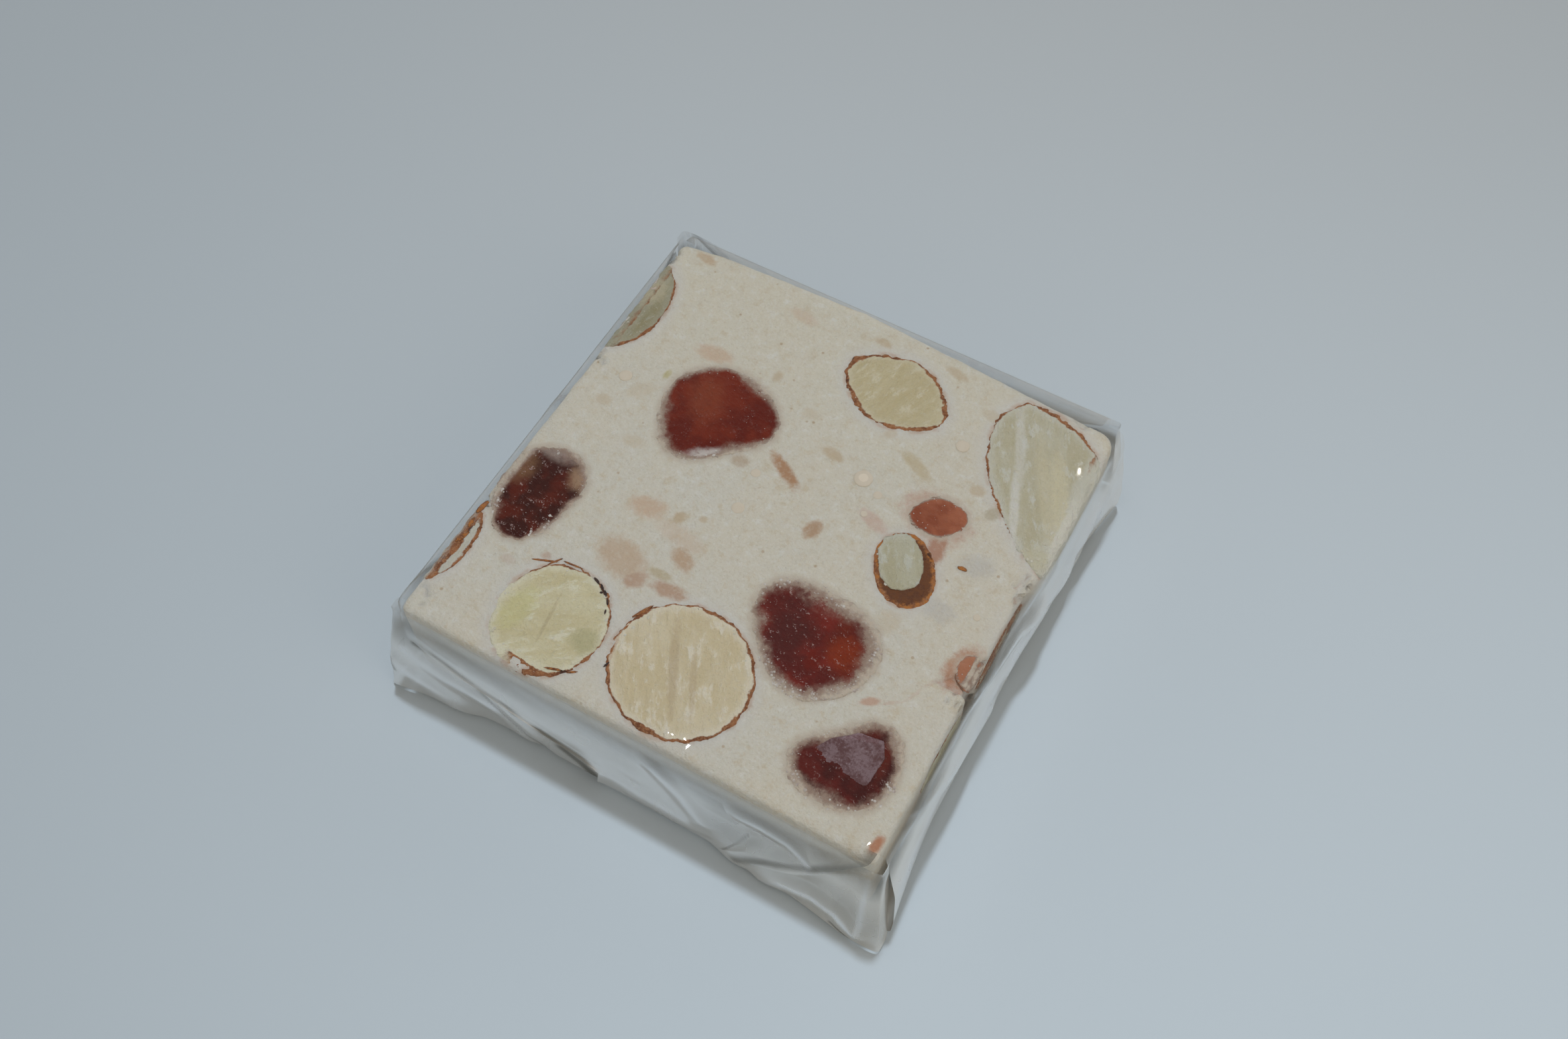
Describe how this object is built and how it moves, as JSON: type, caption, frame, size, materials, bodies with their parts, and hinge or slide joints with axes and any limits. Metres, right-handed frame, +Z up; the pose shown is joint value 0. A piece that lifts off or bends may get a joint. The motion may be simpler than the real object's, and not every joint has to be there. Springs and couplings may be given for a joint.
{
  "type": "nougat bar",
  "caption": "Square bar of white nougat with sliced almonds and candied cherries, lying flat in clear film folded under at its ends.",
  "frame": {"origin": "centre of the pack's footprint, on the surface that it lies on", "axes": "+Z up through the broad face, the film's lap seam runs along Y on the underside, and the folded ends face -Y and +Y"},
  "size_m": [0.054, 0.056, 0.015],
  "materials": {
    "nougat": "waxy ivory nougat with a fine mealy grain",
    "almond": "cut kernel, cream flesh in a thin brown skin",
    "cherry": "translucent candied fruit with a frosted sugar rim",
    "clear_film": "clear crackling film with sharp creases"
  },
  "bodies": {
    "root": {"nougat": "nougat", "wrapper": "clear_film", "almond_front": "almond", "almond_front_left": "almond", "almond_rear": "almond", "almond_right": "almond", "almond_left": "almond", "almond_small": "almond", "almond_low_left": "almond", "almond_right_wall": "almond", "almond_right_wall_near": "almond", "almond_left_wall": "almond", "almond_rear_wall": "almond", "almond_under": "almond", "almond_under_rear": "almond", "cherry_rear": "cherry", "cherry_front": "cherry", "cherry_front_right": "cherry", "cherry_left": "cherry", "cherry_small": "cherry", "cherry_right_edge": "cherry", "cherry_rear_wall": "cherry", "cherry_under": "cherry"}
  },
  "joints": []
}
